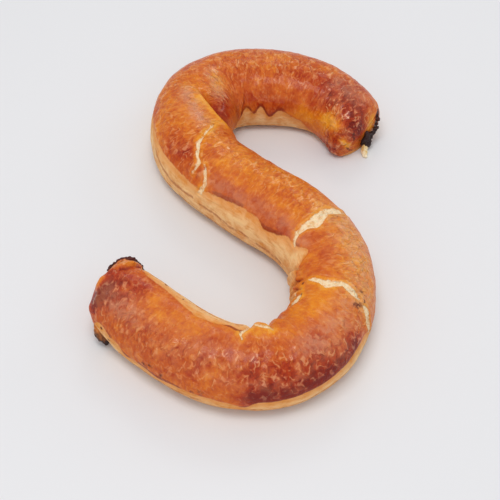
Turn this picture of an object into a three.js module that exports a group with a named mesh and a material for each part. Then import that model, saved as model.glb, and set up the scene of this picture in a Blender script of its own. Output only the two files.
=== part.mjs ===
// Almond pastry letter: one roll of puff pastry round almond paste, bent into
// an S and baked as a single piece that lies flat on its underside.
//
// Millimetres, +Z up.  The origin is the middle of the letter's own box, on the
// surface it rests on; +Y runs up the letter and +X to its right, as it is read.

import * as THREE from "three";
import { NURBSCurve } from "three/addons/curves/NURBSCurve.js";

// ---------- driving dimensions ----------

// The way the roll runs, from its top-right end to its lower-left end: control
// points of a clamped, uniform cubic B-spline through the middle of the roll.
const ROUTE = [
  [73, 98], [62, 126], [13, 141], [-35, 131], [-44, 87], [-34, 61], [6, 26],
  [46, -3], [56, -49], [38, -100], [-20, -110], [-57, -74], [-80, -53],
];
const ROUTE_DEGREE = 3;

// Widths of the roll at equal steps along the route: slim where it starts,
// plumpest over the top, and nearly even from the diagonal on.
const WIDTHS = [44, 54, 56, 53, 54, 51, 51, 50.5, 50];

const RISE = 0.76;                 // height of the roll, as a share of its width
const WIDEST_AT = 0.38;            // height of its widest line, as a share of its height
const UNDER_REACH = 0.46;          // drop of the lower curve below that line, before the flat cuts it
const CROWN_FULLNESS = 2.1;        // superellipse exponent of the section above the widest line
const FLANK_FULLNESS = 2.8;        // superellipse exponent below it

const START_REACH = 7;             // roll past the route's first point
const FINISH_REACH = 14.5;         // roll past the route's last point
const START_SLANT = 0.35;          // how much further the start reaches for each mm towards its bay
const FINISH_SLANT = 0.34;         // the same at the finish
const SLANT_LENGTH = 30;           // length of roll over which a slant comes in
const CAP_LENGTH = 13;             // length over which an end rounds off
const CAP_FULLNESS = 2.8;          // superellipse exponent of an end, seen from above
const CAP_TURN = 0.92;             // how far round that curve an end goes before its closing face
const CAP_DROP = 0.55;             // share of the rounding that also lowers the crown

const BODY_STEPS = 84;             // sections along the route
const CAP_STEPS = 6;               // sections in each end
const ARCH_STEPS = 23;             // facets over the top of a section

const CRUST_COLOUR = 0xc8742e;
const CRUST_ROUGHNESS = 0.45;

// ---------- the route ----------

function clampedKnots(pointCount, degree) {
  const knots = [];
  const spans = pointCount - degree;
  for (let i = 0; i <= pointCount + degree; i += 1) {
    knots.push(THREE.MathUtils.clamp((i - degree) / spans, 0, 1));
  }
  return knots;
}

const routePoints = ROUTE.map(([x, y]) => new THREE.Vector4(x, y, 0, 1));
const route = new NURBSCurve(ROUTE_DEGREE, clampedKnots(ROUTE.length, ROUTE_DEGREE), routePoints);
route.arcLengthDivisions = 1000;
const routeLength = route.getLength();

// A place on the roll's middle, `along` mm from the route's first point.  Past
// either end the roll goes straight on.
function placeOnRoute(along) {
  const share = THREE.MathUtils.clamp(along / routeLength, 0, 1);
  const heading = route.getTangentAt(share);
  const middle = route.getPointAt(share);
  middle.addScaledVector(heading, along - share * routeLength);
  return { middle, heading, side: new THREE.Vector3(-heading.y, heading.x, 0) };
}

function widthAt(along) {
  const steps = THREE.MathUtils.clamp(along / routeLength, 0, 1) * (WIDTHS.length - 1);
  const step = Math.min(Math.floor(steps), WIDTHS.length - 2);
  return THREE.MathUtils.lerp(WIDTHS[step], WIDTHS[step + 1], steps - step);
}

// How far a section leans along the roll for each mm to its left, backwards: both
// ends reach further on the side of the bay that they close round.
function slantAt(along) {
  const atStart = 1 - THREE.MathUtils.smoothstep(along, 0, SLANT_LENGTH);
  const atFinish = THREE.MathUtils.smoothstep(along, routeLength - SLANT_LENGTH, routeLength);
  return START_SLANT * atStart + FINISH_SLANT * atFinish;
}

// ---------- the section ----------

function powered(value, exponent) {
  return Math.sign(value) * Math.abs(value) ** exponent;
}

// The outline of a section 1 wide each side and 1 high: [across, up] pairs from
// one foot, over the crown, to the other foot.  Both feet are on the flat.
function archOutline() {
  const footTurn = Math.asin((WIDEST_AT / UNDER_REACH) ** (FLANK_FULLNESS / 2));
  const outline = [];
  for (let i = 0; i <= ARCH_STEPS; i += 1) {
    const turn = THREE.MathUtils.lerp(-footTurn, Math.PI + footTurn, i / ARCH_STEPS);
    const above = Math.sin(turn) > 0;
    const exponent = 2 / (above ? CROWN_FULLNESS : FLANK_FULLNESS);
    const reach = above ? 1 - WIDEST_AT : UNDER_REACH;
    const up = WIDEST_AT + reach * powered(Math.sin(turn), exponent);
    outline.push([powered(Math.cos(turn), exponent), Math.max(up, 0)]);
  }
  outline[0][1] = 0;
  outline[ARCH_STEPS][1] = 0;
  return outline;
}

// The stations along the roll: how far along each lies, and how much of the full
// section is left there.  The ends round off to a small closing face.
function stations() {
  const capTurns = [];
  for (let i = CAP_STEPS; i > 0; i -= 1) {
    capTurns.push((CAP_TURN * i * Math.PI) / 2 / CAP_STEPS);
  }
  const capStation = (turn, bodyEnd, direction) => ({
    along: bodyEnd + direction * CAP_LENGTH * Math.sin(turn) ** (2 / CAP_FULLNESS),
    share: Math.cos(turn) ** (2 / CAP_FULLNESS),
  });
  const bodyStart = CAP_LENGTH - START_REACH;
  const bodyFinish = routeLength + FINISH_REACH - CAP_LENGTH;
  const startCap = capTurns.map((turn) => capStation(turn, bodyStart, -1));
  const finishCap = capTurns.map((turn) => capStation(turn, bodyFinish, 1)).reverse();
  const body = [];
  for (let i = 0; i <= BODY_STEPS; i += 1) {
    body.push({ along: THREE.MathUtils.lerp(bodyStart, bodyFinish, i / BODY_STEPS), share: 1 });
  }
  return [...startCap, ...body, ...finishCap];
}

// ---------- the pastry letter ----------

function pastryLetter() {
  const outline = archOutline();
  const rows = stations();
  const around = outline.length;
  const corners = [];
  for (const { along, share } of rows) {
    const { middle, heading, side } = placeOnRoute(along);
    const slant = slantAt(along);
    const width = widthAt(along);
    const height = RISE * width * (1 - CAP_DROP * (1 - share));
    for (const [across, up] of outline) {
      const offset = (across * share * width) / 2;
      const corner = middle.clone().addScaledVector(side, offset);
      corner.addScaledVector(heading, -slant * offset);
      corners.push(corner.x, corner.y, up * height);
    }
  }

  const faces = [];
  for (let row = 0; row < rows.length - 1; row += 1) {
    for (let i = 0; i < around; i += 1) {
      const here = row * around + i;
      const next = row * around + ((i + 1) % around);
      faces.push(here, next, next + around);
      faces.push(here, next + around, here + around);
    }
  }
  const lastRow = (rows.length - 1) * around;
  for (let i = 1; i < around - 1; i += 1) {
    faces.push(0, i + 1, i);
    faces.push(lastRow, lastRow + i, lastRow + i + 1);
  }

  const geometry = new THREE.BufferGeometry();
  geometry.setAttribute("position", new THREE.Float32BufferAttribute(corners, 3));
  geometry.setIndex(faces);
  return geometry;
}

const crust = new THREE.MeshStandardMaterial({
  color: CRUST_COLOUR,
  roughness: CRUST_ROUGHNESS,
  metalness: 0,
});

const pastry = new THREE.Mesh(pastryLetter(), crust);
pastry.name = "pastry_letter";

// The letter is centred by its own box, so that the origin is under its middle.
pastry.geometry.computeBoundingBox();
const boxMiddle = pastry.geometry.boundingBox.getCenter(new THREE.Vector3());
pastry.position.set(-boxMiddle.x, -boxMiddle.y, 0);

const letter = new THREE.Group();
letter.add(pastry);

export default letter;
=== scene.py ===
import math

import bpy
import numpy as np
from bpy.props import FloatProperty, FloatVectorProperty, PointerProperty
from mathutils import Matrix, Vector, noise


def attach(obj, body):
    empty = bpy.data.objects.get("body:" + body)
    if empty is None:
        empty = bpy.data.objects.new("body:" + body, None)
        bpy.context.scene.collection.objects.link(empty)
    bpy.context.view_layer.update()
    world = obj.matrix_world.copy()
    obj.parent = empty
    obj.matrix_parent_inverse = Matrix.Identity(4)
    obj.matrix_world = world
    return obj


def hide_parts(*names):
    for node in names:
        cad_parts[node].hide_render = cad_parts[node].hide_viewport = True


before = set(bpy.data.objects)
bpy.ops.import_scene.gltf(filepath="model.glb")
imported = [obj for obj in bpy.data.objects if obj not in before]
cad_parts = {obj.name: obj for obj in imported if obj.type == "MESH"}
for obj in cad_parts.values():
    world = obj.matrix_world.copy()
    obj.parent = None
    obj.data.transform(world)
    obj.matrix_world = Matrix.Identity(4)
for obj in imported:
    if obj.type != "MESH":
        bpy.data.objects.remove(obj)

bl_info = {
    "name": "Almond Pastry Letter",
    "version": (1, 0, 0),
    "blender": (4, 5, 0),
    "location": "View3D > Sidebar > Pastry",
    "description": "Models a baked almond pastry letter, its burnt ends and a pale stage for it",
    "category": "Add Mesh",
}

NODE = "pastry_letter"
BODY = "root"
MM = 0.001

# Control points of the way the roll runs, in mm, from its top-right end to its
# lower-left end: a clamped cubic B-spline, the one that the frame's solid follows.
ROUTE = (
    (73, 98), (62, 126), (13, 141), (-35, 131), (-44, 87), (-34, 61), (6, 26),
    (46, -3), (56, -49), (38, -100), (-20, -110), (-57, -74), (-80, -53),
)
# Where the route's own origin lies once the letter is centred, in mm.
ROUTE_ORIGIN = (3.56, -17.44)
# The roll's width at equal steps along that way.
WIDTHS = (44, 54, 56, 53, 54, 51, 51, 50.5, 50)

# The section: an arch over a flat underside, as a share of its width and height.
WIDEST_AT = 0.38
UNDER_REACH = 0.46
CROWN_FULLNESS = 2.1
FLANK_FULLNESS = 2.8
ARCH_LENGTH = 115.0            # mm over the arch of a usual section, foot to foot

# The ends: how far they go past the route, how they slant and how they round off.
START_REACH = 7
FINISH_REACH = 14.5
START_SLANT = 0.35
FINISH_SLANT = 0.34
SLANT_LENGTH = 30
CAP_LENGTH = 13
CAP_FULLNESS = 2.8
CAP_TURN = 0.92
CAP_DROP = 0.55
FACE_MIDDLE = 0.4              # height of an end face's middle, as a share of the roll's

# The egg wash's lower edge, in mm.
WASH_EVENING = 2.4             # how far along the roll the edge is evened out, each way
END_WASH_HEIGHT = 3.5          # how high above the floor the wash stops on the ends
END_WASH_WANDER = 2.0          # how far that edge strays up and down
POOL_HEIGHT = 1.2              # how far above the edge the wash pooled, and how wide
POOL_SPREAD = 1.9

# How finely the crust is modelled.
STEP = 0.93                    # mm between rows along the roll
ARCH_COLUMNS = 124
UNDER_COLUMNS = 12
CAP_ROWS = 16
FACE_ROWS = 14
SECTION_STEPS = 1200           # steps around the section's outline
MARK_STEPS = 6                 # steps from each point of a mark to its next
MARK_SIGHT = 45                # mm along the roll, past a mark's ends, in which it shows
CRACK_SIGHT = 20.0             # mm from a crack at which it stops being measured
LUMP_VOXEL = 0.45              # mm between points of the lumps

# Where the baking can't move the crust: near its foot, as a lean, and near the middle of
# an end, as a share of the way to its rim.
HELD_FOOT = 0.04
HELD_MIDDLE = 0.35

# The wrinkles: their size and how far they bend aside in mm, how narrow their ridges are,
# and how much of them shows where none are marked.
WRINKLE_SIZE = 4.4
WRINKLE_BEND = 2.4
WRINKLE_NARROWNESS = 2.6
WRINKLES_ELSEWHERE = 0.22

# A fold from side to side, in half widths from its valley towards its lip: how far the
# valley spreads under the lip and away from it, then where the lip, its lap and the
# shadow lie, and how far each spreads.
FOLD_VALLEY = (0.45, 1.15)
FOLD_LIP = (1.0, 0.7)
FOLD_LAP = (0.7, 0.6)
FOLD_SHADOW = (-0.15, 0.4)
FOLD_NARROWEST = 0.4           # mm, the half width and width at which a fold runs out
FOLD_LAP_MOST = 1.6            # mm that a lip leans over its valley at most

# How dark most of the crust baked, from 0 for golden to 1 for the darkest.
USUAL_BAKE = 0.42

# The seams: how far a drawn one reaches in mm, then the leans between which the seam along
# the foot sets in, its strength, and the mm along between which it sets in on the left.
SEAM_REACH = 1.5
FOOT_SEAM = (0.87, 0.93)
FOOT_SEAM_STRENGTH = 0.6
LEFT_SEAM_START = (330, 350)

# The stage: the floor's and the camera film's width, the room's colour, and each light's
# name, place and size in metres, and colour.
FLOOR_WIDTH = 6                # m
FILM_WIDTH = 36                # mm
ROOM_COLOUR = (0.97, 0.98, 1.0, 1.0)
LIGHTS = (
    ("overhead", (-0.1, -0.15, 1.2), (0.6, 0.45), (1.0, 0.99, 0.97)),
    ("back", (0.15, 1.1, 0.95), (0.5, 0.3), (1.0, 0.98, 0.95)),
    ("front", (-0.2, -1.2, 0.35), (1.2, 0.4), (1.0, 0.98, 0.96)),
    ("side", (1.0, 0.7, 0.5), (0.5, 0.5), (0.96, 0.98, 1.0)),
)


def smooth_step(value, low, high):
    """0 below `low`, 1 above `high`, and smoothly from one to the other between them."""
    share = np.clip((value - low) / (high - low), 0.0, 1.0)
    return share * share * (3.0 - 2.0 * share)


def hump(value, middle, spread):
    """1 where value is `middle`, falling almost to 0 at two `spread` from it."""
    return np.exp(-(((value - middle) / spread) ** 2))


def wander(points, size, seed):
    """Smooth noise of about -1 to 1 at points in mm, with bumps `size` mm across."""
    flat = (points.reshape(-1, 3) / size + seed).tolist()
    return np.array([noise.noise(point) for point in flat]).reshape(points.shape[:-1])


# ---------------------------------------------------------------- the plain roll

class Roll:
    """The plain roll in millimetres: places on it are given as mm along its way, and
    as a lean of +1 at the left foot, 0 on the crown and -1 at the right foot."""

    def __init__(self, rise):
        self.rise = rise
        self.middle, self.along = self.trace()
        self.length = self.along[-1]
        # Where the body stops and the rounded ends begin, in mm along.
        self.start = CAP_LENGTH - START_REACH
        self.finish = self.length + FINISH_REACH - CAP_LENGTH
        turn = np.arcsin((WIDEST_AT / UNDER_REACH) ** (FLANK_FULLNESS / 2))
        turns = np.linspace(-turn, math.pi + turn, SECTION_STEPS + 1)
        above = np.sin(turns) > 0
        power = 2 / np.where(above, CROWN_FULLNESS, FLANK_FULLNESS)
        reach = np.where(above, 1 - WIDEST_AT, UNDER_REACH)
        self.across = np.sign(np.cos(turns)) * np.abs(np.cos(turns)) ** power
        height = WIDEST_AT + reach * np.sign(np.sin(turns)) * np.abs(np.sin(turns)) ** power
        self.up = np.maximum(height, 0.0)
        run = np.hypot(np.diff(self.across) / 2, np.diff(self.up) * rise)
        steps = np.concatenate([[0.0], np.cumsum(run)])
        self.leans = 1 - 2 * steps / steps[-1]

    def trace(self):
        """The route as a fine polyline, and the distance along it."""
        curve = bpy.data.curves.new("roll_way", "CURVE")
        curve.dimensions = "3D"
        curve.resolution_u = 64
        spline = curve.splines.new("NURBS")
        spline.points.add(len(ROUTE) - 1)
        for point, (x, y) in zip(spline.points, ROUTE):
            point.co = (x, y, 0, 1)
        spline.order_u = 4
        spline.use_endpoint_u = True
        guide = bpy.data.objects.new("roll_way", curve)
        fine = guide.to_mesh()
        middle = np.array([vertex.co[:2] for vertex in fine.vertices])
        guide.to_mesh_clear()
        bpy.data.objects.remove(guide)
        bpy.data.curves.remove(curve)
        lengths = np.linalg.norm(np.diff(middle, axis=0), axis=1)
        return middle, np.concatenate([[0.0], np.cumsum(lengths)])

    def width(self, along):
        share = np.clip(along / self.length, 0, 1)
        return np.interp(share, np.linspace(0, 1, len(WIDTHS)), WIDTHS)

    def slant(self, along):
        """How steeply a section is turned aside, which is only near the ends."""
        at_start = 1 - smooth_step(along, 0, SLANT_LENGTH)
        at_finish = smooth_step(along, self.length - SLANT_LENGTH, self.length)
        return START_SLANT * at_start + FINISH_SLANT * at_finish

    def on_way(self, along):
        """Places on the middle of the roll at distances along it, kept between its ends."""
        inside = np.clip(along, 0, self.length)
        return np.stack([np.interp(inside, self.along, self.middle[:, i]) for i in (0, 1)], -1)

    def axis(self, along):
        """The middle, heading and left side of the roll at distances along it."""
        inside = np.clip(along, 0, self.length)
        heading = self.on_way(inside + 1) - self.on_way(inside - 1)
        heading /= np.linalg.norm(heading, axis=-1, keepdims=True)
        middle = self.on_way(inside) + heading * (along - inside)[..., None]
        return middle, heading, np.stack([-heading[..., 1], heading[..., 0]], -1)

    def cap_share(self, along):
        """How much of the full section is left: 1 along the body, less in the ends."""
        past = np.maximum(self.start - along, along - self.finish) / CAP_LENGTH
        past = np.clip(past, 0, math.sin(CAP_TURN * math.pi / 2) ** (2 / CAP_FULLNESS))
        return (1 - past ** CAP_FULLNESS) ** (1 / CAP_FULLNESS)

    def section(self, lean):
        """How far across and up the section a lean lies, as shares of half its width and
        its height."""
        across = np.interp(-lean, -self.leans, self.across)
        up = np.interp(-lean, -self.leans, self.up)
        return across, up

    def place(self, along, across, up, share=None):
        """Points in mm from places given along, across and up the section."""
        middle, heading, side = self.axis(along)
        width = self.width(along)
        share = self.cap_share(along) if share is None else share
        height = self.rise * width * (1 - CAP_DROP * (1 - share))
        offset = across * share * width / 2
        flat = middle + side * offset[..., None] - heading * (self.slant(along) * offset)[..., None]
        return np.concatenate([flat, (up * height)[..., None]], -1)

    def surface(self, along, lean):
        """Points in mm on the plain roll's arch."""
        along = np.asarray(along, float)
        across, up = self.section(np.asarray(lean, float))
        return self.place(along, across, up)


# ---------------------------------------------------------------- what the baking did, and painted sheen
# A mark is drawn through points on the crust, each (mm along, lean), and in a crack or a
# fold (mm along, lean, width in mm).

# Splits in the crust that show the pale, flaky dough under it.
CRACKS = (
    ((176, 0.26, 0.6), (181, 0.19, 1.2), (187, 0.03, 1.5), (190, -0.08, 2.4), (194, -0.15, 2.2),
     (197, -0.21, 1.8), (201, -0.25, 2.2), (201, -0.37, 1.2)),
    ((205, -0.23, 0.6), (209, -0.31, 1.6), (212, -0.40, 2.4), (211, -0.52, 3.6)),
    ((288, 0.50, 3.6), (288.5, 0.28, 4.0), (287.5, 0.12, 5.0), (290, 0.00, 8.5), (292, -0.06, 8.0),
     (290.5, -0.16, 5.0), (290.5, -0.28, 3.2), (294, -0.36, 2.0), (298, -0.39, 1.2)),
    ((347, 0.30, 2.6), (345, 0.20, 4.2), (342, 0.10, 2.6), (343, 0.00, 5.0), (344, -0.06, 6.2),
     (341.5, -0.14, 3.4), (339, -0.26, 1.4)),
    ((348, 0.38, 2.2), (349.5, 0.46, 4.6), (352.5, 0.55, 5.0), (353, 0.64, 3.6), (351, 0.72, 1.6)),
    ((421, -0.05, 0.4), (423, -0.13, 1.2), (419, -0.20, 2.2), (416, -0.30, 3.6)),
    ((400, -0.16, 0.8), (406, -0.26, 1.6), (411, -0.32, 1.6)),
    ((345, -0.37, 1.0), (347, -0.45, 2.2)), ((354, -0.36, 3.5), (360, -0.43, 8.0), (366, -0.52, 7.0)),
)

# How far up each flank the egg wash starts, as (mm along, lean): left and right.
LEFT_WASH = (
    (-7, 1.00), (10, 0.95), (30, 0.82), (41, 0.71), (52, 0.68), (58, 0.62), (64, 0.60), (68, 0.66),
    (72, 0.74), (75, 0.69), (78, 0.58), (81, 0.55), (84, 0.62), (87, 0.69), (90, 0.64), (93, 0.58),
    (97, 0.57), (102, 0.66), (108, 0.74), (135, 0.82), (170, 0.80), (300, 0.74), (345, 0.74),
    (358, 0.58), (366, 0.57), (380, 0.63), (400, 0.67), (414, 0.67), (418, 0.80), (422, 0.72),
    (432, 0.69), (452, 0.70), (460, 0.74), (470, 0.69), (483, 0.76), (488, 0.64), (500, 0.62),
    (510, 0.55), (515, 0.54), (519, 0.66), (522, 0.90), (527, 1.00),
)
RIGHT_WASH = (
    (-7, 0.75), (60, 0.72), (110, 0.68), (135, 0.60), (152, 0.50), (165, 0.46), (185, 0.46),
    (205, 0.49), (213, 0.47), (222, 0.44), (240, 0.40), (256, 0.41), (262, 0.49), (270, 0.46),
    (277, 0.44), (284, 0.38), (297, 0.38), (303, 0.34), (308, 0.26), (313, 0.27), (318, 0.42),
    (326, 0.50), (331, 0.46), (337, 0.54), (343, 0.44), (348, 0.42), (354, 0.54), (366, 0.66),
    (380, 0.62), (396, 0.42), (406, 0.36), (414, 0.20), (424, 0.18), (432, 0.26), (442, 0.20),
    (456, 0.18), (470, 0.23), (484, 0.28), (500, 0.28), (506, 0.38), (511, 0.62), (527, 0.76),
)

# Brown seams between the dough's layers, low on the flanks.
SEAMS = (
    ((172, -0.57), (179, -0.63), (188, -0.68), (199, -0.67), (206, -0.65)),
    ((212, -0.68), (225, -0.68), (236, -0.73), (246, -0.71), (262, -0.74), (288, -0.73)),
    ((158, -0.70), (172, -0.76), (183, -0.81), (212, -0.82), (224, -0.85), (244, -0.86),
     (264, -0.87), (290, -0.82)),
    ((110, 0.93), (60, 0.95), (30, 0.97)), ((358, 0.80), (398, 0.84), (440, 0.86), (490, 0.84)),
    ((430, 0.78), (455, 0.81), (480, 0.84)),
    ((424, -0.34), (450, -0.38), (474, -0.46), (504, -0.44)),
)

# Where the wash pooled and browned along its own edge: a point and a reach in mm.
POOLS = (
    ((64, 0.60), (72, 0.74), (78, 0.58), 5), ((81, 0.55), (87, 0.69), 3),
    ((93, 0.58), (102, 0.66), 4), ((424, -0.18), (434, -0.24), 3), ((222, -0.43), (240, -0.40), 4),
    ((262, -0.47), (277, -0.44), 5), ((300, -0.36), 3), ((365, 0.56), (412, 0.66), 5),
    ((418, 0.78), 4), ((448, 0.70), (470, 0.70), 4), ((483, 0.73), 5), ((500, 0.54), 4),
)

# Darker (+) and paler (-) bakes: points, then reach in mm and strength.
BAKES = (
    ((-5, 0.04), (8, 0.14), (22, 0.22), 12, 0.34), ((-6, 0.45), (-2, 0.62), (8, 0.84), 9, 0.36),
    ((-7, 0.00), 6, 0.30), ((24, 0.05), (46, 0.12), 10, 0.14), ((2, -0.12), (20, -0.06), 8, 0.18),
    # The second patch on the next line darkens the big fold's valley: painted shade.
    ((58, 0.52), (150, 0.50), 10, 0.20), ((144, 0.36), (158, 0.50), (170, 0.64), 8, 0.12),
    ((118, -0.14), (165, -0.28), 10, 0.02), ((20, -0.40), (120, -0.40), 12, 0.10),
    ((176, -0.20), (190, -0.22), 8, 0.08), ((180, -0.30), (285, -0.36), 7, 0.20),
    ((366, 0.50), (414, 0.60), 9, 0.56), ((384, 0.26), (412, 0.32), 9, 0.26),
    ((380, 0.10), (412, 0.06), 9, 0.10), ((450, 0.42), (480, 0.45), 12, 0.10),
    ((517, 0.26), (521, 0.40), 8, 0.62), ((500, -0.06), (514, -0.06), 8, 0.08),
    ((500, -0.10), (514, 0.05), 9, 0.12), ((492, -0.18), (508, 0.16), 8, 0.06),
    ((430, 0.18), (510, 0.12), 18, 0.16), ((474, 0.06), (484, -0.02), 8, -0.10),
    # The first patch on the next line is painted sheen.
    ((119, 0.08), (127, 0.22), 5, -0.35), ((4, 0.42), (12, 0.44), 6, -0.42),
    ((16, 0.60), (48, 0.60), 7, -0.24), ((60, -0.06), (108, 0.02), 9, -0.08),
    ((60, 0.10), (120, 0.16), 14, 0.10), ((138, 0.00), (176, 0.27), 5, -0.16),
    ((148, 0.12), (160, 0.26), (178, 0.42), 3, -0.34), ((184, 0.16), (282, 0.14), 8, -0.08),
    # The first patch on the next line is painted sheen on the outer right bend.
    ((294, 0.22), (318, 0.28), (342, 0.34), 13, -0.26), ((160, -0.40), (168, -0.44), 5, -0.20),
    ((300, -0.14), (336, -0.10), 9, 0.06), ((350, -0.14), (396, -0.16), 10, -0.08),
    ((444, 0.04), (480, 0.04), 9, -0.06), ((402, -0.22), (430, -0.16), 6, -0.22),
    ((-5.6, -0.36), (-6.6, -0.45), 4, -0.38), ((-5.0, 0.54), (-6.2, 0.62), 2.6, -0.65),
    ((521, 0.13), (521.5, 0.20), 3.2, -0.60), ((522, 0.46), (523, 0.56), 3.5, -0.35),
    ((516, -0.22), (509, -0.36), 3.5, -0.22),
)

# Painted sheen where the wash catches the light: points, then reach in mm and strength.
PAINTED_SHEENS = (
    ((6, -0.10), (24, -0.04), 8, 0.55), ((144, -0.06), (156, 0.05), (172, 0.12), 6, 1.05),
    ((292, 0.22), (318, 0.28), (345, 0.38), 13, 0.75), ((215, -0.34), (290, -0.30), 6, 0.60),
    ((485, 0.22), (504, 0.26), 8, 0.80), ((500, 0.14), (512, 0.16), 7, 0.35),
    ((350, 0.22), (386, 0.18), 9, 0.85), ((119, 0.06), (127, 0.22), (134, 0.27), 4.5, 1.0),
    ((0, -0.36), (110, -0.34), 7, 0.15), ((296, -0.32), (303, -0.26), 4, 0.70),
    ((425, 0.20), (490, 0.22), 14, 0.30),
)

# Where the crust shrank into short, curving wrinkles: points, then reach in mm and strength.
WRINKLES = (
    ((10, -0.10), (50, -0.06), (100, 0.00), 16, 1.0), ((-4, 0.10), (2, 0.40), (14, 0.26), 11, 1.6),
    ((-6, -0.42), (-6, -0.10), 6, 1.4), ((-5, 0.55), (0, 0.70), (6, 0.88), 9, 1.5),
    ((524, 0.00), (518, -0.30), (508, -0.50), 7, 1.3),
    ((498, 0.00), (510, 0.10), (518, 0.44), 10, 0.9),
    ((294, 0.22), (320, 0.24), (342, 0.28), 13, 1.6),
    ((352, 0.35), (385, 0.35), (415, 0.30), 14, 1.15), ((425, 0.32), (500, 0.30), 12, 0.9),
    ((185, 0.10), (240, 0.14), (285, 0.10), 14, 0.95), ((116, 0.05), (134, 0.24), 9, 1.4),
    ((140, -0.06), (156, 0.06), (174, 0.14), 7, 1.3),
    ((128, -0.20), (165, -0.26), (200, -0.22), 15, 0.8),
)

# Burnt spots and edges: points, then reach in mm and how black they are.
BURNS = (
    ((-4, -0.50), (-5, -0.72), 2.4, 1.0), ((-6, 0.66), (-6.9, 0.84), 0.7, 0.7),
    ((-6.6, 0.34), (-6.8, 0.46), 1.8, 0.6), ((-6, -0.86), (-5, -0.60), (-3, -0.50), 2.0, 1.0),
    ((457, 0.66), 3.6, 0.40), ((464, 0.60), (468, 0.63), 3.6, 0.42),
    ((436, 0.63), (439, 0.66), 3.2, 0.38), ((351, 0.30), 4.2, 0.48), ((346, 0.37), 2.2, 0.45),
    ((342, 0.30), 3.0, 0.45), ((206, 0.29), 1.2, 0.7), ((402, 0.84), 1.3, 1.0),
    ((526, -0.20), (524, -0.33), (519, -0.42), (512, -0.50), (509, -0.60), 1.8, 0.8),
    ((490, -0.40), 1.3, 0.8), ((474, -0.34), 1.1, 0.8), ((500, 0.62), 1.1, 0.7),
    ((503, 0.70), 1.2, 0.7), ((511, 0.60), 1.2, 0.8), ((340, -0.36), 1.3, 0.5),
    ((352, -0.34), 1.3, 0.5), ((310, -0.76), 1.8, 0.7), ((524, 0.30), 2.4, 0.35),
)

# Where the crust laps over itself: points with widths, then the valley's depth and the
# lip's height in mm, and the side that laps over: 1 is the side further along.
FOLDS = (
    (((137, 0.00, 1), (142, 0.10, 5), (150, 0.22, 9), (158, 0.34, 11), (166, 0.50, 12), (171, 0.68, 12),
      (173, 0.95, 11)), 9.5, 1.8, 1),
    (((96, 0.34, 0.6), (98, 0.50, 2.6), (104, 0.64, 2)), 1.0, 0.4, 1),
    (((128, 0.26, 0.6), (136, 0.36, 2.4), (144, 0.40, 3), (158, 0.43, 2)), 0.5, 0.9, -1),
    (((326, -0.36, 1), (318, -0.54, 4), (311, -0.72, 5), (308, -0.95, 5)), 2.2, 1.8, 1),
    (((336, -0.34, 1), (332, -0.48, 3.4), (330.5, -0.62, 4), (329, -0.95, 4)), 2.2, 1.5, -1),
    (((347, -0.32, 1), (341, -0.47, 3.4), (339, -0.62, 4), (338, -0.95, 5)), 2.2, 1.5, -1),
    (((351, -0.31, 1), (350, -0.42, 3), (347, -0.60, 4), (346, -0.95, 4)), 1.4, 0.6, -1),
    (((356, -0.28, 1), (364, -0.35, 4), (371, -0.46, 5), (375, -0.95, 5)), 2.4, 1.6, 1),
    (((383, -0.24, 1), (388, -0.34, 4), (391, -0.95, 5)), 2.0, 1.2, 1),
    (((396, -0.12, 1), (400, -0.20, 3), (403, -0.34, 5), (404, -0.95, 6)), 2.8, 1.2, 1),
    (((422, -0.12, 1), (417, -0.24, 4), (414, -0.36, 5), (413, -0.95, 6)), 2.8, 1.2, -1),
    (((521, 0.06, 1), (517, -0.05, 4), (512, -0.18, 7), (509, -0.36, 8), (508, -0.52, 6), (508, -0.66, 2)),
     2.0, 1.0, 1),
    (((-5.5, 0.44, 1), (1, 0.50, 4), (5, 0.62, 4), (7, 0.90, 3)), 1.2, 1.0, -1),
    (((-4, -0.24, 1), (3, -0.10, 3), (8, -0.02, 1)), 0.8, 0.6, 1),
    (((338, 0.10, 1), (340, 0.20, 3), (343, 0.30, 1)), 0.6, 0.6, 1),
)

# Where the roll is pressed in, or bulges (-): points, then reach and depth in mm.
DENTS = (
    ((525, 0.72), (518, 0.84), (508, 0.94), 8, 3.6), ((486, 0.36), (500, 0.34), 12, 1.0),
    ((470, 0.02), (500, -0.02), 10, 1.0), ((525, -0.06), (522, -0.22), 6, 3.4),
    ((518, -0.36), (516, -0.46), 5, 1.8), ((521.5, 0.12), (522, 0.20), 3.4, -1.1),
    ((522, 0.33), 3.6, 0.8), ((523, 0.50), 3.6, -1.3), ((-5.5, -0.10), 4, 1.0),
    ((-5.5, 0.30), 4, 1.2), ((2, 0.30), 5, 0.8), ((-6, 0.60), 4, -0.9),
)

# Lumps that ran out and baked on, as balls that melt together: (x, y, z, radius) in mm.
BURNT_SUGAR = (
    (89.8, 92.6, 23.2, 1.0), (91.0, 90.8, 21.6, 1.3), (91.8, 88.8, 19.2, 1.2),
    (91.8, 86.6, 16.8, 1.5), (91.2, 84.2, 14.2, 1.1), (90.2, 82.0, 11.6, 1.6),
    (88.6, 80.6, 9.8, 1.3), (86.6, 79.2, 9.4, 1.9), (87.4, 78.0, 8.0, 1.3), (84.0, 75.8, 10.6, 2.2),
    (83.0, 74.8, 7.6, 2.6), (85.4, 76.6, 6.2, 2.4), (83.8, 74.2, 4.0, 2.6), (81.6, 75.4, 4.6, 2.0),
    (83.2, 77.4, 12.6, 1.5), (86.4, 75.2, 4.4, 1.3),
)
CHARRED_RIM = (
    (-83.4, -56.4, 27.0, 1.1), (-82.0, -54.2, 27.4, 1.4), (-79.8, -52.2, 28.0, 1.6),
    (-77.4, -50.4, 28.0, 1.7), (-75.2, -49.0, 27.6, 1.8), (-73.0, -48.0, 27.2, 1.9),
    (-70.8, -47.6, 27.0, 1.9), (-68.8, -48.0, 26.8, 1.7), (-66.8, -48.8, 26.0, 1.5),
    (-65.2, -49.2, 24.0, 1.4), (-64.0, -49.8, 21.8, 1.3), (-63.2, -50.4, 19.8, 1.2),
)
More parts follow.
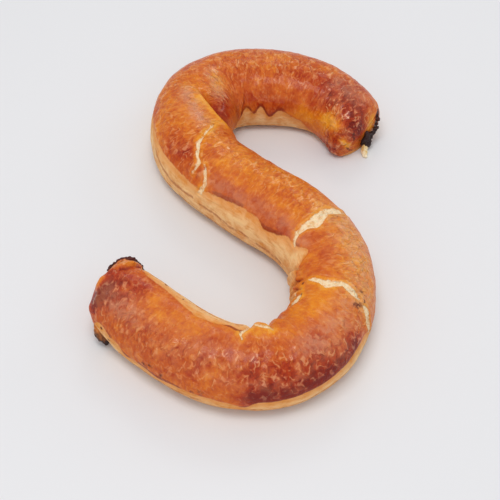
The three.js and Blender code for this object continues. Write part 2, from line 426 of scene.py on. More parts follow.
ALMOND_PASTE = (
    (83.2, 72.8, 3.2, 2.3), (82.8, 70.8, 2.4, 2.2), (82.6, 68.8, 1.9, 2.2), (82.6, 67.2, 1.4, 2.0),
)
LEAK = (
    (-87.8, -87.4, 16.0, 2.3), (-88.5, -88.6, 13.0, 2.8), (-88.1, -90.0, 9.6, 3.2),
    (-86.6, -91.6, 6.6, 3.4), (-84.4, -92.4, 5.0, 3.1), (-85.6, -90.0, 10.6, 3.2),
    (-83.8, -91.4, 8.0, 2.8),
)


class Crust:
    """The roll's surface as a grid of points in mm: a row for each station along the
    roll and a column for each place around it, the flat underside included."""

    def __init__(self, roll):
        self.roll = roll
        start, finish = roll.start, roll.finish
        turns = np.linspace(0, CAP_TURN * math.pi / 2, CAP_ROWS + 1)[1:]
        cap_along = CAP_LENGTH * np.sin(turns) ** (2 / CAP_FULLNESS)
        cap_share = np.cos(turns) ** (2 / CAP_FULLNESS)
        face = np.linspace(1, 0, FACE_ROWS + 1)[1:]
        body = np.linspace(start, finish, int((finish - start) / STEP) + 1)
        ones = np.ones(len(face))
        cap = np.concatenate([cap_along, cap_along[-1] * ones])
        share = np.concatenate([cap_share, cap_share[-1] * ones])
        inner = np.concatenate([np.ones(CAP_ROWS), face])
        self.along = np.concatenate([start - cap[::-1], body, finish + cap])
        self.share = np.concatenate([share[::-1], np.ones(len(body)), share])
        self.inner = np.concatenate([inner[::-1], np.ones(len(body)), inner])

        half = UNDER_COLUMNS // 2
        foot = roll.across[0]
        under = np.linspace(0, 1, half + 1)
        arch_lean = np.linspace(1, -1, ARCH_COLUMNS + 1)
        across, up = roll.section(arch_lean)
        self.lean = np.concatenate([2 - under[:-1], arch_lean, -1 - under[1:]])
        self.across = np.concatenate([foot * under[:-1], across, -foot * (1 - under[1:])])
        self.up = np.concatenate([0 * under[:-1], up, 0 * under[1:]])

        shape = (len(self.along), len(self.lean))
        self.along_at = np.broadcast_to(self.along[:, None], shape)
        self.lean_at = np.broadcast_to(self.lean[None, :], shape)
        self.points = self.plain_points(shape)
        self.normals = self.outward()
        self.around_at = self.lean_at * ARCH_LENGTH / 2
        self.lift = np.zeros(shape)
        self.off_foot = smooth_step(1 - np.abs(self.lean_at), 0, HELD_FOOT)
        self.off_middle = smooth_step(self.inner, 0, HELD_MIDDLE)[:, None]

    def plain_points(self, shape):
        """The grid's points on the plain roll; an end's rows close in on its middle."""
        share = np.broadcast_to(self.share[:, None], shape)
        inner = self.inner[:, None]
        across = self.across[None, :] * inner
        up = FACE_MIDDLE + (self.up[None, :] - FACE_MIDDLE) * inner
        return self.roll.place(self.along_at, across, np.broadcast_to(up, shape), share)

    def outward(self):
        """The way out of the crust at each point; one way for all of an end's middle."""
        down_roll = np.gradient(self.points, axis=0)
        around = np.gradient(self.points, axis=1)
        facing = np.cross(around, down_roll)
        facing /= np.maximum(np.linalg.norm(facing, axis=-1, keepdims=True), 1e-9)
        facing[0] = facing[1].mean(0)
        facing[-1] = facing[-2].mean(0)
        return facing

    def line(self, marks):
        """A line through marks as places on the plain roll, with each place's width and
        mm along."""
        marks = np.array([mark if len(mark) == 3 else (*mark, 0.0) for mark in marks], float)
        if len(marks) == 1:
            marks = np.vstack([marks, marks + (0.1, 0, 0)])
        fine = np.linspace(0, len(marks) - 1, MARK_STEPS * (len(marks) - 1) + 1)
        along, lean, width = (np.interp(fine, np.arange(len(marks)), marks[:, i]) for i in range(3))
        return self.roll.surface(along, lean), width, along

    def distance(self, marks):
        """How far each point is from a line through marks, in mm, the line's width at
        its nearest place, and the way from that place to the point."""
        line, widths, along = self.line(marks)
        best = np.full(self.lift.shape, 1e6)
        width = np.zeros(self.lift.shape)
        away = np.zeros(self.points.shape)
        near = (self.along > along.min() - MARK_SIGHT) & (self.along < along.max() + MARK_SIGHT)
        points = self.points[near]
        for i in range(len(line) - 1):
            step = line[i + 1] - line[i]
            share = np.clip((points - line[i]) @ step / max(step @ step, 1e-9), 0, 1)
            offset = points - line[i] - share[..., None] * step
            gap = np.linalg.norm(offset, axis=-1)
            closer = gap < best[near]
            best[near] = np.where(closer, gap, best[near])
            width[near] = np.where(closer, widths[i] + share * (widths[i + 1] - widths[i]), width[near])
            away[near] = np.where(closer[..., None], offset, away[near])
        return best, width, away

    def patch(self, marks, reach):
        """1 on a line through marks, falling almost to 0 at two `reach` mm from it."""
        return hump(self.distance(marks)[0], 0, reach)

    def patches(self, table):
        """The strongest of several patches, each its marks, then its reach and strength."""
        strongest = np.zeros(self.lift.shape)
        for *marks, reach, strength in table:
            strongest = np.maximum(strongest, strength * self.patch(marks, reach))
        return strongest

    def unrolled(self, along, around):
        """The crust laid flat, its mm along and around the roll scaled by `along` and
        `around`."""
        return np.stack([along * self.along_at, around * self.around_at, 0 * self.lift], -1)


def wash_edge(crust):
    """Millimetres above the lower edge of the egg wash; negative where the dough is bare."""
    nearby = crust.along[:, None] + np.linspace(-WASH_EVENING, WASH_EVENING, 9)
    left, right = (np.interp(nearby, *np.array(edge).T).mean(1)[:, None] for edge in (LEFT_WASH, RIGHT_WASH))
    edge = np.where(crust.lean_at > 0, left, right)
    above = (edge - np.abs(crust.lean_at)) * ARCH_LENGTH / 2
    stray = END_WASH_WANDER * wander(crust.points, size=11, seed=4.4)
    over_end = crust.points[..., 2] - END_WASH_HEIGHT - stray
    at_end = smooth_step(1 - crust.share * crust.inner, 0.10, 0.35)[:, None]
    return above + at_end * (over_end - above)


def crack_inside(crust):
    """Millimetres inside the nearest crack; negative outside."""
    inside = np.full(crust.lift.shape, -CRACK_SIGHT)
    for marks in CRACKS:
        gap, width, _ = crust.distance(marks)
        inside = np.maximum(inside, width / 2 - gap)
    return inside


def fold_over(crust):
    """How the folds lift and shift the crust, and how deep in one a point is, for painted shade."""
    lift = np.zeros(crust.lift.shape)
    shift = np.zeros(crust.points.shape)
    crevice = np.zeros(crust.lift.shape)
    forward = np.gradient(crust.points, axis=0)
    for marks, depth, lip, side in FOLDS:
        gap, width, away = crust.distance(marks)
        ahead = np.where((away * forward).sum(-1) > 0, side, -side)
        reach = gap * ahead / np.maximum(width / 2, FOLD_NARROWEST)
        strength = smooth_step(width, FOLD_NARROWEST, max(mark[2] for mark in marks))
        valley = hump(reach, 0, np.where(reach > 0, *FOLD_VALLEY))
        lift += strength * (lip * hump(reach, *FOLD_LIP) - depth * valley)
        sideways = away * (ahead / np.maximum(gap, 0.3))[..., None]
        lap = hump(reach, *FOLD_LAP) * (reach > 0)
        shift -= sideways * (min(lip, FOLD_LAP_MOST) * lap * strength)[..., None]
        # Painted shade in a fold's valley, darker the deeper the fold.
        darkness = strength * min(depth / 2, 1)
        crevice = np.maximum(crevice, darkness * hump(reach, *FOLD_SHADOW))
    return lift, shift, crevice


def wrinkled(crust):
    """Short ridges that curve over the crust, from 0 to 1."""
    flat = crust.unrolled(1, 0.6)
    bend = np.stack([wander(flat, size=9, seed=4.1), wander(flat, size=9, seed=8.3), 0 * crust.lift], -1)
    level = wander(flat + WRINKLE_BEND * bend, size=WRINKLE_SIZE, seed=6.6)
    ridge = np.clip(1 - WRINKLE_NARROWNESS * np.abs(level), 0, 1) ** 1.4
    return ridge * smooth_step(wander(flat, size=10, seed=2.9), -0.2, 0.25)


def seam_lines(crust):
    """1 in the seams between the dough's layers, broken up along their way, 0 elsewhere."""
    deepest = np.zeros(crust.lift.shape)
    for marks in SEAMS:
        deepest = np.maximum(deepest, crust.patch(marks, SEAM_REACH))
    unbroken = smooth_step(wander(crust.unrolled(1 / 9, 1 / 2), size=1, seed=3.7), -0.6, -0.05)
    on_left = smooth_step(crust.along_at, *LEFT_SEAM_START)
    foot = FOOT_SEAM_STRENGTH * smooth_step(np.abs(crust.lean_at), *FOOT_SEAM)
    return np.maximum(deepest * unbroken, foot * np.where(crust.lean_at < 0, 1, on_left))


def shape_crust(crust, settings, glaze, cracks):
    """Lifts the plain roll into a baked one: uneven, wrinkled, split and folded."""
    points = crust.points
    uneven = wander(points, size=34, seed=3.1) + 0.6 * wander(points, size=15, seed=7.7)
    lift = settings.unevenness / MM * uneven
    skin = smooth_step(glaze, -0.8, 0.8)
    blisters = 0.5 + wander(points, size=5.2, seed=11.3)
    blisters *= 0.7 + 0.6 * wander(points, size=22, seed=1.9)
    marked = crust.patches(WRINKLES)
    ridges = wrinkled(crust) * (WRINKLES_ELSEWHERE + (1 - WRINKLES_ELSEWHERE) * marked)
    lift += skin * (settings.skin_edge + settings.blister * blisters + settings.wrinkle * ridges) / MM
    for *marks, reach, depth in DENTS:
        lift -= depth * crust.patch(marks, reach)
    floor = smooth_step(cracks, -0.4, 0.5) * (1 - 0.8 * wander(points, size=2.8, seed=5.5))
    lift += (settings.crack_rim * hump(cracks, -1.2, 0.9) - settings.crack_depth * floor) / MM
    seams = seam_lines(crust)
    layers = wander(crust.unrolled(1 / 10, 1 / 1.9), size=1, seed=2.2)
    lift += (1 - skin) * settings.layer_height / MM * (layers - 0.6 * seams)
    fold_lift, shift, crevice = fold_over(crust)
    crust.lift = (lift + fold_lift) * crust.off_foot * crust.off_middle
    crust.points = points + crust.normals * crust.lift[..., None] + shift * crust.off_foot[..., None]
    crust.points[..., 2] = np.maximum(crust.points[..., 2], 0.0)
    return {"ridges": ridges * skin, "crevice": crevice, "seam": seams}


# ---------------------------------------------------------------- small Blender helpers

def start_fresh():
    """Leaves edit mode and clears the selection before a piece is begun."""
    if bpy.context.object and bpy.context.object.mode != "OBJECT":
        bpy.ops.object.mode_set(mode="OBJECT")
    bpy.ops.object.select_all(action="DESELECT")


def finish_piece(piece, material):
    """Gives a piece its material and says what it rides on."""
    piece.data.materials.clear()
    piece.data.materials.append(material)
    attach(piece, BODY)


def store(mesh, name, values):
    """Keeps a value for each point of a mesh, for its material to read."""
    layer = mesh.attributes.new(name, "FLOAT", "POINT")
    layer.data.foreach_set("value", np.asarray(values, np.float32))


def with_crumbs(balls, share):
    """Balls, and on each of them two smaller ones of up to `share` of its radius."""
    chance = np.random.default_rng(len(balls))
    grown = list(balls)
    for x, y, z, radius in balls:
        for _ in range(2):
            aside = chance.normal(size=3)
            aside *= radius / np.linalg.norm(aside)
            crumb = radius * share * chance.uniform(0.6, 1.0)
            grown.append((x + aside[0], y + aside[1], max(z + aside[2], crumb), crumb))
    return grown


def lump_piece(name, balls, grain, roughness, crumbs):
    """Melts balls, each (x, y, z, radius) in mm, and crumbs on them into one lump, whose
    skin is rough by `roughness` mm in bumps `grain` mm across."""
    start_fresh()
    parts = []
    for x, y, z, radius in with_crumbs(balls, crumbs):
        bpy.ops.mesh.primitive_ico_sphere_add(
            subdivisions=3, radius=radius * MM, location=(x * MM, y * MM, z * MM))
        parts.append(bpy.context.object)
    for part in parts:
        part.select_set(True)
    bpy.ops.object.join()
    piece = bpy.context.object
    piece.name = piece.data.name = name
    bpy.ops.object.transform_apply(location=True, rotation=True, scale=True)
    melt = piece.modifiers.new("melt", "REMESH")
    melt.mode = "VOXEL"
    melt.voxel_size = LUMP_VOXEL * MM
    even = piece.modifiers.new("even", "SMOOTH")
    even.iterations = 4
    rough = piece.modifiers.new("rough", "DISPLACE")
    rough.texture = bpy.data.textures.new(name, "CLOUDS")
    rough.texture.noise_scale = grain * MM
    rough.strength = roughness * MM
    rough.texture_coords = "LOCAL"
    for modifier in ("melt", "even", "rough"):
        bpy.ops.object.modifier_apply(modifier=modifier)
    bpy.ops.object.shade_smooth()
    for vertex in piece.data.vertices:
        vertex.co.z = max(vertex.co.z, 0.0)
    return piece


# ---------------------------------------------------------------- materials

def shade(code):
    """Linear colour from a six-digit colour code."""
    parts = [int(code[i:i + 2], 16) / 255 for i in (0, 2, 4)]
    return tuple(((part + 0.055) / 1.055) ** 2.4 if part > 0.04045 else part / 12.92 for part in parts)


class Wire:
    """A shader's value that can stand in a sum like a number; each step adds a Math node."""

    def __init__(self, sheet, socket):
        self.sheet = sheet
        self.socket = socket

    def maths(self, operation, first, second):
        return self.sheet.add("ShaderNodeMath", {"operation": operation}, {0: first, 1: second})

    def __add__(self, other):
        return self.maths("ADD", self, other)

    def __sub__(self, other):
        return self.maths("SUBTRACT", self, other)

    def __rsub__(self, other):
        return self.maths("SUBTRACT", other, self)

    def __mul__(self, other):
        return self.maths("MULTIPLY", self, other)

    __radd__ = __add__
    __rmul__ = __mul__


class Sheet:
    """A material's node tree, to which one method adds every node."""

    def __init__(self, name):
        self.material = bpy.data.materials.new(name)
        self.material.use_nodes = True
        self.tree = self.material.node_tree
        self.tree.nodes.clear()

    def add(self, kind, settings=None, inputs=None, output=0):
        node = self.tree.nodes.new(kind)
        for name, value in (settings or {}).items():
            if name == "stops":
                self.set_stops(node.color_ramp, value)
            else:
                setattr(node, name, value)
        for name, value in (inputs or {}).items():
            if isinstance(value, Wire):
                self.tree.links.new(value.socket, node.inputs[name])
            else:
                node.inputs[name].default_value = value
        return Wire(self, node.outputs[output]) if node.outputs else node

    def set_stops(self, ramp, stops):
        while len(ramp.elements) < len(stops):
            ramp.elements.new(0.5)
        for element, (position, colour) in zip(ramp.elements, stops):
            element.position = position
            element.color = (*colour, 1.0)

    def attribute(self, name):
        return self.add("ShaderNodeAttribute", {"attribute_name": name}, output="Fac")

    def noise(self, place, size, detail=2.0, roughness=0.5, distortion=0.0):
        """Noise from 0 to 1 with bumps `size` mm across."""
        inputs = {"Vector": place, "Scale": 1 / (size * MM), "Detail": detail,
                  "Roughness": roughness, "Distortion": distortion}
        return self.add("ShaderNodeTexNoise", None, inputs, "Fac")

    def step(self, value, low, high, start=0.0, end=1.0):
        """Smoothly from `start` to `end` as value goes from low to high."""
        inputs = {"Value": value, "From Min": low, "From Max": high, "To Min": start, "To Max": end}
        return self.add("ShaderNodeMapRange", {"interpolation_type": "SMOOTHSTEP"}, inputs)

    def mix(self, share, first, second):
        """From the first colour to the second as `share` goes from 0 to 1."""
        inputs = {0: share, 6: first if isinstance(first, Wire) else (*first, 1.0),
                  7: second if isinstance(second, Wire) else (*second, 1.0)}
        return self.add("ShaderNodeMix", {"data_type": "RGBA"}, inputs, 2)

    def ramp(self, value, *stops):
        return self.add("ShaderNodeValToRGB", {"stops": stops}, {"Fac": value}, "Color")

    def stretch(self, place, scale):
        return self.add("ShaderNodeVectorMath", {"operation": "MULTIPLY"}, {0: place, 1: scale})

    def bump(self, height, tallest):
        """Relief that stands `tallest` mm high where height is 1."""
        inputs = {"Strength": 1.0, "Distance": tallest * MM, "Height": height}
        return self.add("ShaderNodeBump", None, inputs)

    def surface(self, inputs):
        """The finished material, from what its one shader is given."""
        shader = self.add("ShaderNodeBsdfPrincipled", None, inputs)
        self.add("ShaderNodeOutputMaterial", None, {"Surface": shader})
        return self.material


# The crust laid flat, in metres along the roll and around it. The distance around is
# shortened, so that wrinkles drawn on it come out longer across the roll.
UNROLLED = (0.534, 0.07, 0.0)
# From there to a surface on which the dough's layers are drawn out along the roll.
LAYERED = (0.25, 2.4, 0.0)
# How far the jagged edges of the wash and of the cracks stray, in mm from tip to tip.
JAGS = 2.6


class CrustSheet(Sheet):
    """The crust's node tree: what was marked on it, and the noises that its colours share."""

    def __init__(self):
        super().__init__("baked_crust")
        self.place = self.add("ShaderNodeTexCoord", output="Object")
        self.ragged = self.noise(self.place, 3, detail=3, roughness=0.6) - 0.5
        self.blotch = self.noise(self.place, 11, detail=3, roughness=0.55, distortion=0.6) - 0.5
        self.fleck = self.noise(self.place, 2.6, detail=4, roughness=0.65, distortion=0.4) - 0.5
        self.grain = self.noise(self.place, 6, detail=4, roughness=0.6, distortion=0.5)
        self.flaky = self.noise(self.place, 3.4, detail=3, roughness=0.6, distortion=0.8)
        self.ridges = self.attribute("ridges")
        self.crevice = self.attribute("crevice")
        self.flat = self.stretch(self.add("ShaderNodeTexCoord", output="UV"), UNROLLED)
        self.crinkle = self.noise(self.flat, 2.5, distortion=1) - 0.5
        self.crinkled = self.attribute("wrinkle") * 0.68 + 0.32
        self.tops = self.step(self.crinkle, 0.03, 0.20) * self.crinkled
        drawn_out = self.stretch(self.flat, LAYERED)
        self.layers = self.noise(drawn_out, 3, detail=4, roughness=0.65, distortion=0.5) - 0.5
        edge = self.attribute("glaze") + self.ragged * JAGS + self.blotch * 1.6
        self.glaze = self.step(edge, -0.6, 0.45)
        self.split = self.attribute("crack") + self.ragged * JAGS + self.blotch * 2.0
        self.crack = self.step(self.split, -0.3, 0.5)
        burn = self.attribute("char") + self.ragged * 1.1
        self.scorched = self.step(burn, 0.22, 0.60)
        self.charred = self.step(burn, 0.55, 0.85)

    def washed(self, colours):
        """Egg wash by how long it baked, with painted highlight and shade on wrinkles and folds."""
        cell = self.noise(self.place, 5.5, distortion=1.2) - 0.5
        streak = self.noise(self.flat, 6, detail=3, roughness=0.6, distortion=0.8) - 0.5
        drift = self.noise(self.place, 30) - 0.5
        toast = self.attribute("toast") + drift * 0.40 + self.blotch * 0.50 + cell * 0.22
        toast = toast + self.fleck * 0.26 + streak * 0.35 - self.ridges * 0.10
        # Painted highlight and shade: paler on the crinkles' tops and darker between them, as on the ridges.
        toast = toast - self.crinkle * self.crinkled * 0.75
        # Paler near the splits; darker in the folds' valleys, which is painted shade.
        toast = toast - self.step(self.split, -4.0, -0.5) * 0.22 + self.crevice * 0.45
        colour = self.ramp(toast, (0.02, colours.golden), (0.24, colours.amber), (0.48, colours.russet),
                           (0.74, colours.mahogany), (0.98, colours.plum))
        # A painted highlight on the tops of the wrinkles and on their ridges.
        return self.mix(self.tops * 0.42 + self.ridges * 0.18, colour, colours.painted_glint)

    def bare(self, colours):
        """Bare dough: its layers, their brown edges, and amber where some wash ran."""
        tone = self.grain + self.layers * 0.7 + self.blotch * 0.6
        colour = self.ramp(tone, (0.24, colours.tan), (0.62, colours.dough))
        seam = self.step(self.attribute("seam") + self.ragged * 1.4 + self.fleck * 1.2, 0.2, 1.0)
        colour = self.mix(seam * 0.75, colour, colours.layer)
        thin = self.step(self.attribute("glaze") + self.blotch * 9.0, -9.0, -0.5, 0.0, 0.55)
        return self.mix(thin, colour, colours.amber)

    def marked(self, colour, colours):
        """A colour with what lies over it: pooled wash, painted sheen, splits and burns."""
        pooled = self.step(self.attribute("pool") + self.ragged * 0.8, 0.25, 0.85, 0.0, 0.72)
        colour = self.mix(pooled, colour, colours.pooled)
        # Painted sheen, broken up by the grain.
        sheen_share = self.attribute("bloom") * self.step(self.grain, 0.35, 0.6, 0.25, 1.0) * 0.7
        colour = self.mix(sheen_share, colour, colours.bloom)
        tone = self.flaky + self.blotch * 0.3
        inside = self.ramp(tone, (0.30, colours.crack_shadow), (0.52, colours.cream))
        colour = self.mix(self.crack, colour, inside)
        colour = self.mix(self.scorched, colour, colours.scorch)
        return self.mix(self.charred, colour, colours.char)

    def relief(self):
        """How high the crust's finest shapes stand, in mm."""
        fine = self.noise(self.place, 3.6, distortion=0.8)
        finer = self.noise(self.place, 1.1)
        return (fine * (0.30 + 0.35 * self.glaze) + finer * 0.04 + self.crack * self.flaky * 0.8
                + self.glaze * self.crinkled * self.crinkle * 2.2
                + (1.0 - self.glaze) * self.layers * 1.2)


def crust_material(colours, gloss):
    """Egg-washed crust, bare dough and cracks, with a glossy coat on the wash alone."""
    sheet = CrustSheet()
    colour = sheet.mix(sheet.glaze, sheet.bare(colours), sheet.washed(colours))
    coat = sheet.glaze * (1.0 - sheet.crack) * (1.0 - sheet.scorched * 0.6) * (1.0 - sheet.crevice)
    return sheet.surface({
        "Base Color": sheet.marked(colour, colours),
        "Roughness": sheet.step(sheet.glaze, 0.0, 1.0, 0.62, gloss.roughness) + sheet.fleck * 0.12,
        "Normal": sheet.bump(sheet.relief(), 1.0),
        "Coat Weight": coat * (sheet.tops + 0.4) * gloss.coat,
        "Coat Roughness": gloss.coat_roughness,
        "Specular IOR Level": gloss.base,
        "Subsurface Weight": 0.08,
        "Subsurface Radius": (1.0, 0.45, 0.2),
        "Subsurface Scale": 2.5 * MM,
    })


def lump_material(name, low, high, heights, roughness, relief):
    """A mottled material that goes from one colour to another between two heights in mm,
    with a relief of so many mm."""
    sheet = Sheet(name)
    place = sheet.add("ShaderNodeTexCoord", output="Object")
    height = sheet.add("ShaderNodeSeparateXYZ", None, {"Vector": place}, "Z")
    coarse = sheet.noise(place, 4.5, detail=3, roughness=0.6, distortion=0.5) - 0.5
    fine = sheet.noise(place, 1.6, detail=3, roughness=0.6)
    share = height + coarse * (12 * MM) + (fine - 0.5) * (3 * MM)
    return sheet.surface({
        "Base Color": sheet.mix(sheet.step(share, heights[0] * MM, heights[1] * MM), low, high),
        "Roughness": fine * 0.3 + roughness,
        "Normal": sheet.bump(fine, relief),
        "Specular IOR Level": 0.3,
    })


def floor_material(colour):
    return Sheet("pale_floor").surface({"Base Color": (*colour, 1.0), "Roughness": 0.6})


# ---------------------------------------------------------------- settings

def colour_setting(name, description, code):
    return FloatVectorProperty(name=name, description=description, subtype="COLOR",
                               size=3, min=0.0, max=1.0, default=shade(code))


def size_setting(name, description, millimetres):
    return FloatProperty(name=name, description=description, unit="LENGTH", default=millimetres * MM)


def share_setting(name, description, default, least=0.0, most=1.0):
    return FloatProperty(name=name, description=description, subtype="FACTOR",
                         min=least, max=most, default=default)


def power_setting(name, description, watts):
    return FloatProperty(name=name, description=description, unit="POWER", min=0.0, default=watts)


class PastryShape(bpy.types.PropertyGroup):
    rise: share_setting("Rise", "Height of the roll as a share of its width", 0.76, 0.4, 1.2)
    unevenness: size_setting("Unevenness", "How far the roll strays from an even one", 0.7)
    blister: size_setting("Blisters", "Height of the blisters in the washed crust", 0.45)
    skin_edge: size_setting("Skin edge", "How much thicker the washed crust is", 0.3)
    wrinkle: size_setting("Wrinkles", "Height of the wrinkles in the washed crust", 0.55)
    crack_depth: size_setting("Crack depth", "Depth of the splits in the crust", 0.9)
    crack_rim: size_setting("Crack rim", "How far the crust curls up beside a split", 0.45)
    layer_height: size_setting("Layers", "Height of the bare dough's layers", 0.28)


class PastryColours(bpy.types.PropertyGroup):
    golden: colour_setting("Golden", "Palest washed crust", "EC9F2E")
    amber: colour_setting("Amber", "Usual washed crust", "DF8018")
    russet: colour_setting("Russet", "Well baked crust", "CA601C")
    mahogany: colour_setting("Mahogany", "Dark crust", "AA340E")
    plum: colour_setting("Plum", "Darkest crust", "7C1C0E")
    tan: colour_setting("Tan", "Browner bare dough", "E0964F")
    dough: colour_setting("Dough", "Paler bare dough", "F5C88E")
    pooled: colour_setting("Pooled wash", "Wash that ran down and browned", "84260F")
    layer: colour_setting("Layer", "Browned edges of the dough's layers", "B8683A")
    cream: colour_setting("Cream", "Dough inside a split", "F8DDB4")
    crack_shadow: colour_setting("Split edge", "Deeper dough inside a split", "E2A868")
    # Painted sheen: the pale pinkish colour laid where the wash catches the light.
    bloom: colour_setting("Bloom", "Dull, pinkish wash", "D6926E")
    # A painted highlight on the tops of the wrinkles.
    painted_glint: colour_setting("Wrinkle tops", "Dry tops of the wrinkles", "EBA472")
    scorch: colour_setting("Scorch", "Nearly burnt crust", "642A20")
    char: colour_setting("Char", "Burnt sugar", "2C1614")
    leak: colour_setting("Leak", "Filling that leaked out and baked", "C9762E")
    paste: colour_setting("Paste", "Almond paste that ran out", "F6E8C6")
    paste_shadow: colour_setting("Baked paste", "Browner parts of that paste", "DDB870")


class PastryGloss(bpy.types.PropertyGroup):
    roughness: share_setting("Crust", "Roughness of the washed crust", 0.40)
    base: share_setting("Shine", "How much the crust itself mirrors", 0.1)
    coat: share_setting("Wash", "Strength of the egg wash's gloss", 0.5)
    coat_roughness: share_setting("Wash roughness", "Roughness of that gloss", 0.16)


class PastryStage(bpy.types.PropertyGroup):
    elevation: FloatProperty(
        name="Elevation", description="How far above the floor the camera looks from",
        subtype="ANGLE", unit="ROTATION", default=math.radians(50))
    distance: size_setting("Distance", "From the camera to what it looks at", 844.2)
    lens: FloatProperty(
        name="Lens", description="Focal length on a 36 mm film", unit="CAMERA", default=93.6)
    floor: colour_setting("Floor", "Colour of the floor", "E3E3E5")
    sky: FloatProperty(
        name="Surroundings", description="Brightness of the white room", min=0.0, default=0.66)
    overhead: power_setting("Overhead light", "Power of the light above", 5.0)
    back: power_setting("Back light", "Power of the light behind", 1.5)
    front: power_setting("Front light", "Power of the low light in front", 2.0)
    side: power_setting("Side light", "Power of the light on the right", 1.0)


# ---------------------------------------------------------------- operators

class PASTRY_OT_roll(bpy.types.Operator):
    """Bake the roll: the whole letter, with its cracks, folds and bare flanks"""
    bl_idname = "pastry.roll"
    bl_label = "Roll"

    def execute(self, context):
        settings = context.scene.pastry_shape
        crust = Crust(Roll(settings.rise))
        glaze = wash_edge(crust)
        cracks = crack_inside(crust)
        marks = self.bake_marks(crust, glaze, cracks)
        marks.update(shape_crust(crust, settings, glaze, cracks))
        piece = self.grid_piece(crust, marks)
        self.close(piece)
        finish_piece(piece, crust_material(context.scene.pastry_colours, context.scene.pastry_gloss))
        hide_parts(NODE)
        return {"FINISHED"}

    def bake_marks(self, crust, glaze, cracks):
        """What the material reads at each point: the baking's marks and the painted sheen."""
        toast = np.full(crust.lift.shape, USUAL_BAKE)
        for *marks, reach, strength in BAKES:
            toast += strength * crust.patch(marks, reach)
        at_edge = hump(glaze, POOL_HEIGHT, POOL_SPREAD)
        pool = np.zeros(crust.lift.shape)
        for *marks, reach in POOLS:
            pool = np.maximum(pool, crust.patch(marks, reach) * at_edge)
        return {"glaze": glaze, "crack": cracks, "toast": toast, "pool": pool,
                "bloom": crust.patches(PAINTED_SHEENS), "char": crust.patches(BURNS),
                "wrinkle": crust.patches(WRINKLES)}

    def grid_piece(self, crust, marks):
        """Adds a grid, moves its points onto the crust's and keeps the marks on them."""
        rows, columns = crust.lift.shape
        start_fresh()
        bpy.ops.mesh.primitive_grid_add(
            x_subdivisions=rows - 1, y_subdivisions=columns - 1, size=1, calc_uvs=True)
        piece = bpy.context.object
        piece.name = piece.data.name = "pastry_roll"
        mesh = piece.data
        flat = np.zeros(len(mesh.vertices) * 3)
        mesh.vertices.foreach_get("co", flat)
        flat = flat.reshape(-1, 3)
        row = np.rint((flat[:, 0] + 0.5) * (rows - 1)).astype(int)
        column = np.rint((flat[:, 1] + 0.5) * (columns - 1)).astype(int)
        placed = (crust.points[row, column] + (*ROUTE_ORIGIN, 0)) * MM
        mesh.vertices.foreach_set("co", placed.ravel())
        for name, values in marks.items():
            store(mesh, name, values[row, column])
        return piece

    def close(self, piece):
        """Joins the two long edges under the roll and closes both ends."""
        bpy.ops.object.mode_set(mode="EDIT")
        bpy.ops.mesh.select_all(action="SELECT")
        bpy.ops.mesh.remove_doubles(threshold=0.001 * MM)
        bpy.ops.mesh.normals_make_consistent(inside=False)
        bpy.ops.object.mode_set(mode="OBJECT")
        bpy.ops.object.shade_smooth()


class PASTRY_OT_burnt_sugar(bpy.types.Operator):
    """Add the black lumps of sugar that boiled out of the top-right end"""
    bl_idname = "pastry.burnt_sugar"
    bl_label = "Burnt sugar"

    def execute(self, context):
        colours = context.scene.pastry_colours
        piece = lump_piece("burnt_sugar", BURNT_SUGAR, grain=2.0, roughness=2.0, crumbs=0.6)
        finish_piece(piece, lump_material("burnt_sugar", colours.char, colours.scorch,
                                          heights=(10, 26), roughness=0.3, relief=0.5))
        return {"FINISHED"}


class PASTRY_OT_charred_rim(bpy.types.Operator):
    """Add the charred crumbs along the rolled rim of the lower-left end"""
    bl_idname = "pastry.charred_rim"
    bl_label = "Charred rim"

    def execute(self, context):
        colours = context.scene.pastry_colours
        piece = lump_piece("charred_rim", CHARRED_RIM, grain=2.0, roughness=1.6, crumbs=0.6)
        finish_piece(piece, lump_material("charred_rim", colours.char, colours.scorch,
                                          heights=(19, 36), roughness=0.5, relief=0.5))
        return {"FINISHED"}


class PASTRY_OT_almond_paste(bpy.types.Operator):
    """Add the pale drip of almond paste under the top-right end"""
    bl_idname = "pastry.almond_paste"
    bl_label = "Almond paste"

    def execute(self, context):
        colours = context.scene.pastry_colours
        piece = lump_piece("almond_paste", ALMOND_PASTE, grain=3.0, roughness=0.8, crumbs=0.4)
        finish_piece(piece, lump_material("almond_paste", colours.paste, colours.paste_shadow,
                                          heights=(1, 5), roughness=0.4, relief=0.2))
        return {"FINISHED"}


class PASTRY_OT_leak(bpy.types.Operator):
    """Add the filling that leaked out beside the lower-left end, burnt underneath"""
    bl_idname = "pastry.leak"
    bl_label = "Leak"

    def execute(self, context):
        colours = context.scene.pastry_colours
        piece = lump_piece("leaked_filling", LEAK, grain=2.6, roughness=1.6, crumbs=0.5)
        finish_piece(piece, lump_material("leaked_filling", colours.char, colours.leak,
                                          heights=(5, 15), roughness=0.35, relief=0.4))
        return {"FINISHED"}


def area_light(name, place, size, colour, power):
    """An oblong light that shines on the letter."""
    light = bpy.data.lights.new(name, "AREA")
    light.shape = "RECTANGLE"
    light.size, light.size_y = size
    light.energy = power
    light.color = colour
    holder = bpy.data.objects.new(name, light)
    bpy.context.scene.collection.objects.link(holder)
    holder.location = place
    holder.rotation_euler = (-Vector(place)).to_track_quat("-Z", "Y").to_euler()


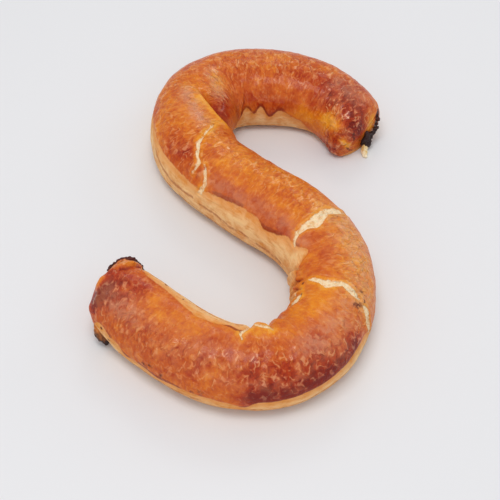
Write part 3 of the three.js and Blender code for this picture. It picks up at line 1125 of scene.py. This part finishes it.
class PASTRY_OT_stage(bpy.types.Operator):
    """Set a pale floor, soft studio light and the camera"""
    bl_idname = "pastry.stage"
    bl_label = "Stage"

    def execute(self, context):
        stage = context.scene.pastry_stage
        start_fresh()
        bpy.ops.mesh.primitive_plane_add(size=FLOOR_WIDTH, location=(0, 0, 0))
        floor = bpy.context.object
        floor.name = floor.data.name = "floor"
        floor.data.materials.append(floor_material(stage.floor))

        world = bpy.data.worlds.new("white_room")
        world.use_nodes = True
        background = world.node_tree.nodes["Background"]
        background.inputs["Color"].default_value = ROOM_COLOUR
        background.inputs["Strength"].default_value = stage.sky
        context.scene.world = world
        for name, place, size, colour in LIGHTS:
            area_light(f"{name}_light", place, size, colour, getattr(stage, name))

        camera_data = bpy.data.cameras.new("view")
        camera_data.sensor_width = FILM_WIDTH
        camera_data.lens = stage.lens
        camera = bpy.data.objects.new("view", camera_data)
        context.scene.collection.objects.link(camera)
        aim = Vector((*ROUTE_ORIGIN, 0)) * MM
        away = Vector((0, -math.cos(stage.elevation), math.sin(stage.elevation)))
        camera.location = aim + away * stage.distance
        camera.rotation_euler = (math.pi / 2 - stage.elevation, 0, 0)
        context.scene.camera = camera
        context.scene.view_settings.view_transform = "Standard"
        return {"FINISHED"}


class PASTRY_PT_panel(bpy.types.Panel):
    """The steps of the letter, in order"""
    bl_idname = "PASTRY_PT_panel"
    bl_label = "Almond Pastry Letter"
    bl_space_type = "VIEW_3D"
    bl_region_type = "UI"
    bl_category = "Pastry"

    def draw(self, context):
        for step in STEPS:
            self.layout.operator(step.bl_idname)
        for group in SETTINGS:
            for name in SETTINGS[group].__annotations__:
                self.layout.prop(getattr(context.scene, group), name)


STEPS = (PASTRY_OT_stage, PASTRY_OT_roll, PASTRY_OT_burnt_sugar, PASTRY_OT_charred_rim,
         PASTRY_OT_almond_paste, PASTRY_OT_leak)
SETTINGS = {
    "pastry_shape": PastryShape,
    "pastry_colours": PastryColours,
    "pastry_gloss": PastryGloss,
    "pastry_stage": PastryStage,
}
CLASSES = (*SETTINGS.values(), *STEPS, PASTRY_PT_panel)


def register():
    for cls in CLASSES:
        bpy.utils.register_class(cls)
    for name, cls in SETTINGS.items():
        setattr(bpy.types.Scene, name, PointerProperty(type=cls))


def unregister():
    for name in SETTINGS:
        delattr(bpy.types.Scene, name)
    for cls in reversed(CLASSES):
        bpy.utils.unregister_class(cls)


def main():
    register()
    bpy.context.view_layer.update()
    bpy.ops.pastry.stage()
    bpy.ops.pastry.roll()
    bpy.ops.pastry.burnt_sugar()
    bpy.ops.pastry.charred_rim()
    bpy.ops.pastry.almond_paste()
    bpy.ops.pastry.leak()


if __name__ == "__main__":
    main()
